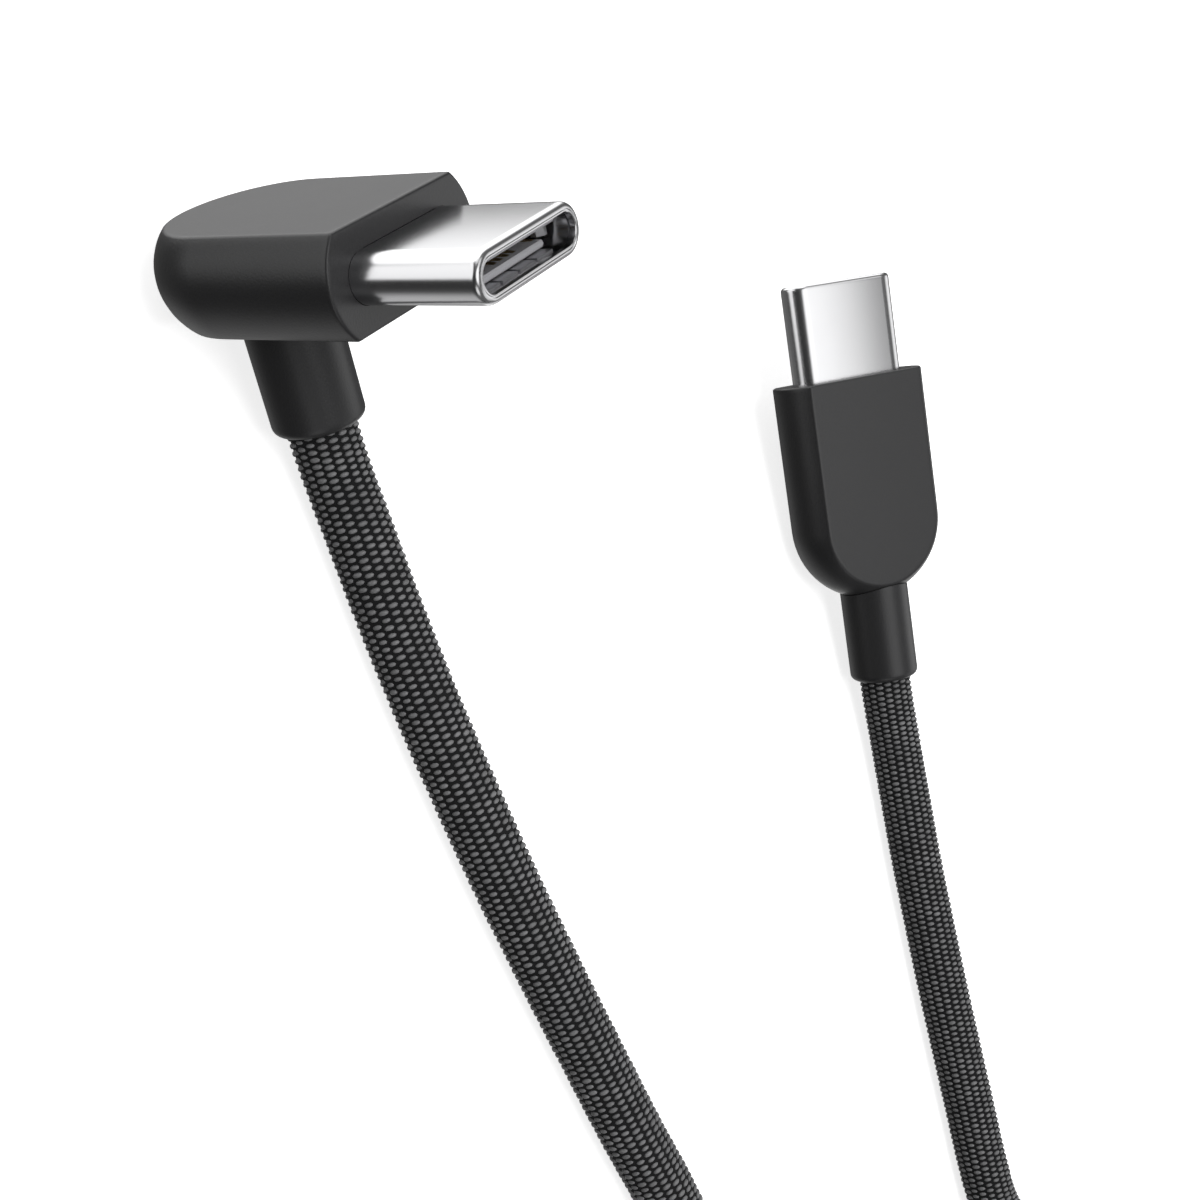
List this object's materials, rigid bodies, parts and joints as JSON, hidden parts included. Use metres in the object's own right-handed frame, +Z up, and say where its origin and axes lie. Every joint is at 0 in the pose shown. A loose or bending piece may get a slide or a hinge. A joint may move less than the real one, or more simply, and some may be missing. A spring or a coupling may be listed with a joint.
{
  "type": "charging cable",
  "caption": "Braided charging cable with oval reversible plugs, one at a right angle and one straight, each with a slim round-ended housing and a strain relief; spare cord in a tied coil.",
  "frame": {"origin": "bottom centre of the box round the two plugs, on the table the cable lies on", "axes": "+X from the plugs along the cord, +Y across the pair of plugs from the angled one to the straight one, +Z up"},
  "size_m": [0.1218, 0.0762, 0.0198],
  "materials": {
    "shell_steel": "bright drawn steel with a soft sheen",
    "carrier_plastic": "moulded grey plastic",
    "contact_gold": "gold flash",
    "spring_steel": "thin spring steel",
    "can_steel": "thin plated steel",
    "board": "green circuit board",
    "mould_plastic": "natural moulded plastic",
    "core_plastic": "grey inner jacket",
    "housing_plastic": "satin black moulded plastic",
    "wire_red": "red insulation",
    "wire_black": "black insulation",
    "wire_white": "white insulation",
    "wire_green": "green insulation",
    "wire_blue": "blue insulation",
    "braid": "dark grey and silver textile braid",
    "tie_fabric": "black hook and loop strap"
  },
  "bodies": {
    "cable": {"angled_shell": "shell_steel", "angled_contact_carrier": "carrier_plastic", "angled_upper_contacts": "contact_gold", "angled_lower_contacts": "contact_gold", "angled_upper_ground_spring": "spring_steel", "angled_lower_ground_spring": "spring_steel", "angled_paddle_board": "board", "angled_shield_can": "can_steel", "angled_inner_mould": "mould_plastic", "angled_crimp_ferrule": "can_steel", "angled_cord_core": "core_plastic", "angled_strain_relief": "housing_plastic", "angled_housing": "housing_plastic", "angled_wire_red": "wire_red", "angled_wire_black": "wire_black", "angled_wire_white": "wire_white", "angled_wire_green": "wire_green", "angled_wire_blue": "wire_blue", "straight_shell": "shell_steel", "straight_contact_carrier": "carrier_plastic", "straight_upper_contacts": "contact_gold", "straight_lower_contacts": "contact_gold", "straight_upper_ground_spring": "spring_steel", "straight_lower_ground_spring": "spring_steel", "straight_paddle_board": "board", "straight_shield_can": "can_steel", "straight_inner_mould": "mould_plastic", "straight_crimp_ferrule": "can_steel", "straight_cord_core": "core_plastic", "straight_strain_relief": "housing_plastic", "straight_housing": "housing_plastic", "straight_wire_red": "wire_red", "straight_wire_black": "wire_black", "straight_wire_white": "wire_white", "straight_wire_green": "wire_green", "straight_wire_blue": "wire_blue", "cord_from_angled_plug": "braid", "cord_from_straight_plug": "braid", "cord_coil": "braid", "coil_tie": "tie_fabric"},
    "angled_latch_a": {"angled_latch_a": "spring_steel"},
    "angled_latch_b": {"angled_latch_b": "spring_steel"},
    "straight_latch_a": {"straight_latch_a": "spring_steel"},
    "straight_latch_b": {"straight_latch_b": "spring_steel"}
  },
  "joints": [
    {"name": "angled_latch_a_flex", "type": "hinge", "parent": "cable", "child": "angled_latch_a", "pos_m": [-0.00394, -0.02548, 0.01388], "axis": [0.8246, 0.4684, -0.3173], "range_deg": [0, 3], "stiffness_Nm_per_rad": 0.02},
    {"name": "angled_latch_b_flex", "type": "hinge", "parent": "cable", "child": "angled_latch_b", "pos_m": [-0.00744, -0.01966, 0.01339], "axis": [-0.8246, -0.4684, 0.3173], "range_deg": [0, 3], "stiffness_Nm_per_rad": 0.02},
    {"name": "straight_latch_a_flex", "type": "hinge", "parent": "cable", "child": "straight_latch_a", "pos_m": [-0.00729, 0.01887, 0.00425], "axis": [0.2291, -0.3905, 0.8916], "range_deg": [0, 3], "stiffness_Nm_per_rad": 0.02},
    {"name": "straight_latch_b_flex", "type": "hinge", "parent": "cable", "child": "straight_latch_b", "pos_m": [-0.00833, 0.02492, 0.00716], "axis": [-0.2291, 0.3905, -0.8916], "range_deg": [0, 3], "stiffness_Nm_per_rad": 0.02}
  ]
}
